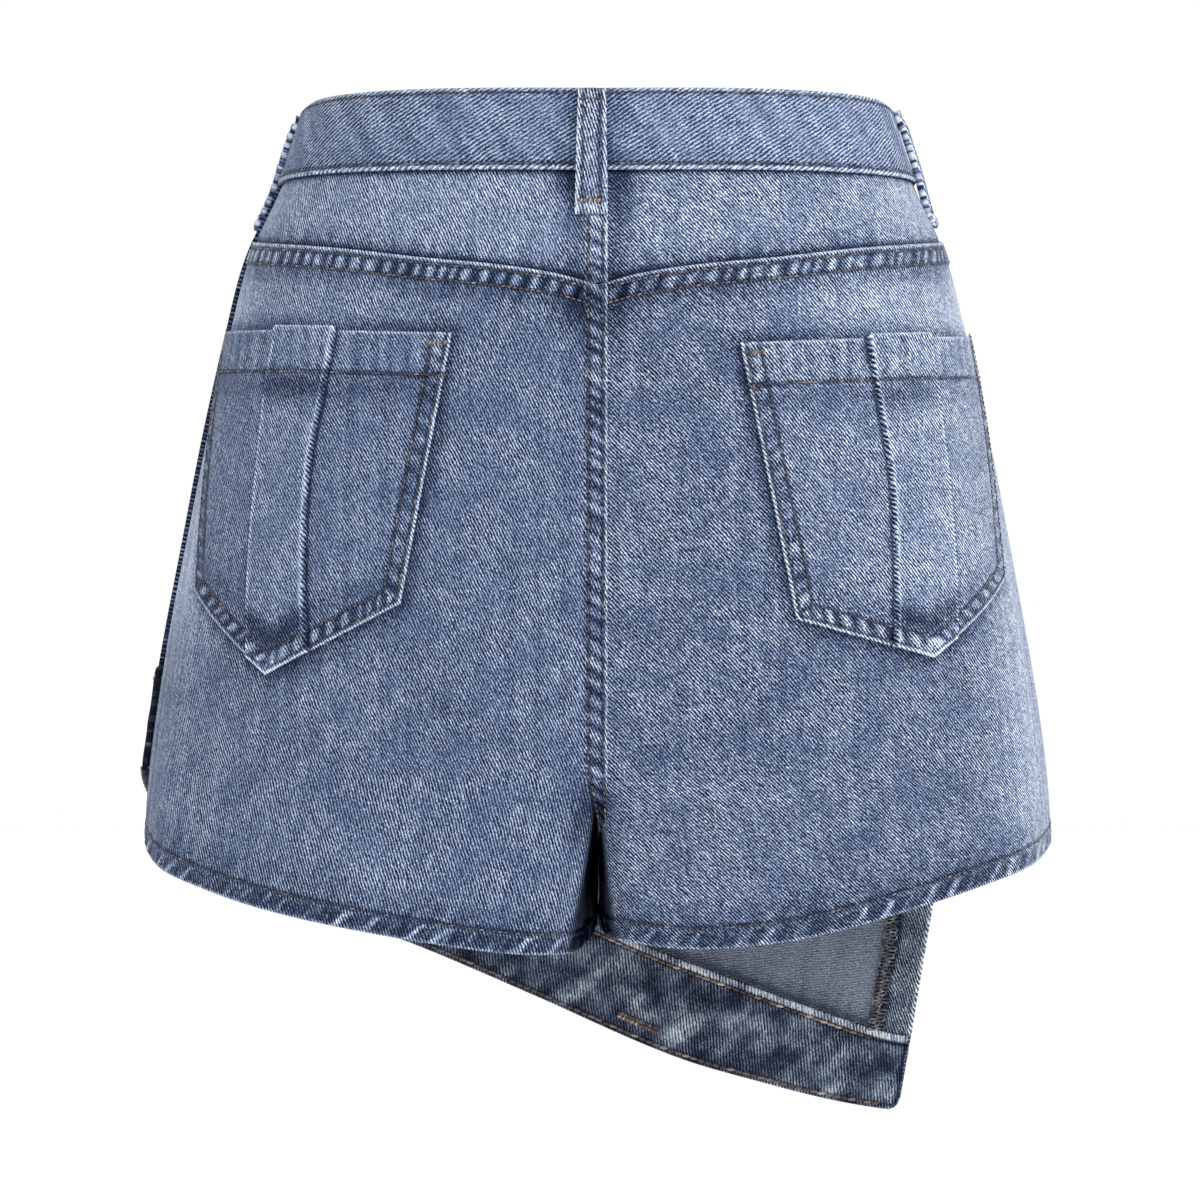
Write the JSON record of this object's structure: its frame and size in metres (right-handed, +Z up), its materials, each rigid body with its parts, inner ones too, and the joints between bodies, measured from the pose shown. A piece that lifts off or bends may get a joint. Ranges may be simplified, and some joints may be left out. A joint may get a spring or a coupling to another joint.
{
  "type": "denim skort: high-waisted shorts with a wrap-over apron front, worn form, held up by its wearer",
  "caption": "High-waisted denim skort: shorts with pleated back pockets under a wrap-over front whose slanting banded edge hangs past the leg.",
  "frame": {"origin": "middle of the waist opening, level with the top of the waistband at the centre back", "axes": "+Z up, the garment's front faces -Y, the wearer's left is +X"},
  "size_m": [0.3994, 0.2219, 0.4502],
  "materials": {
    "denim": "washed mid-blue cotton twill",
    "denim_wrong_side": "grey-blue wrong side of the twill",
    "thread": "tobacco-brown topstitching thread, darkened by washing",
    "brass": "aged brass"
  },
  "bodies": {
    "root": {"waistband": "denim", "yoke_left": "denim", "yoke_right": "denim", "back_left": "denim", "back_right": "denim", "front_left": "denim", "front_right": "denim", "pocket_left": "denim", "pocket_right": "denim", "apron": "denim", "apron_band": "denim", "apron_turning": "denim", "belt_loop_back": "denim", "belt_loop_side_left": "denim", "belt_loop_side_right": "denim", "belt_loop_front_left": "denim", "belt_loop_front_right": "denim", "waist_button": "brass"}
  },
  "joints": []
}
